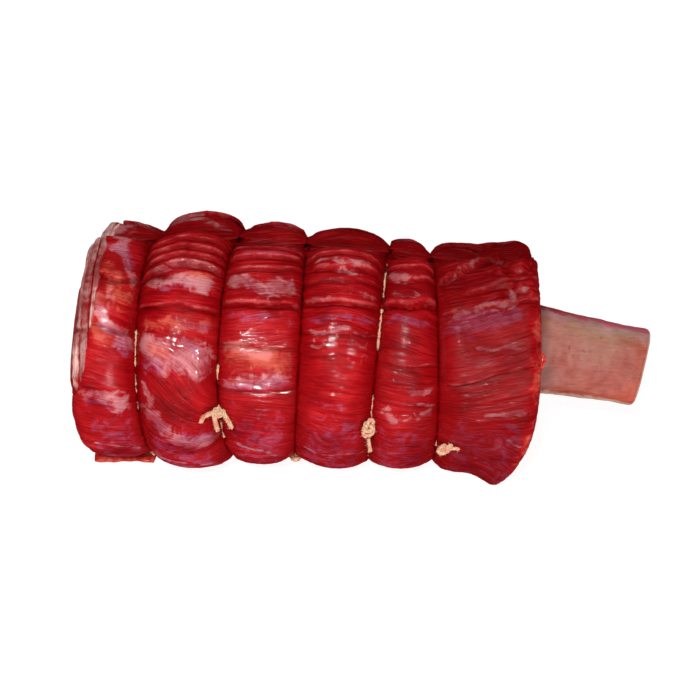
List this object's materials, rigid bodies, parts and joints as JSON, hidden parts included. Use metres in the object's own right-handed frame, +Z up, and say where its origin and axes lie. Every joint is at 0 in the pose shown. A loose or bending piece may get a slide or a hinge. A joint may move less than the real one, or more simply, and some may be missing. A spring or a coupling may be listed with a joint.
{
  "type": "bone-in beef shank",
  "caption": "Raw bone-in beef shank, rolled round its bone and tied with loops of butcher's twine into plump lobes, with the sawn end of the bone standing out at one end.",
  "frame": {"origin": "on the surface that the roll lies on, under the middle of the whole object's bounding box", "axes": "+X along the roll from its closed end to the bone's sawn end, +Y to the back, away from the side with the knots, +Z up"},
  "size_m": [0.3272, 0.1494, 0.1371],
  "materials": {
    "raw_meat": "raw beef muscle, deep red, moist and glossy, with paler silverskin and a little fat",
    "bone": "raw bone, tan and pinkish, with thin red tissue on it, satin",
    "marrow": "raw marrow, soft, pinkish, moist",
    "twine": "three-ply cotton butcher's twine, cream stained pink by meat juice, matt"
  },
  "bodies": {
    "root": {"meat": "raw_meat", "bone": "bone", "marrow": "marrow", "twine_tie_1": "twine", "twine_tie_2": "twine", "twine_tie_3": "twine", "twine_tie_4": "twine", "twine_tie_5": "twine"}
  },
  "joints": []
}
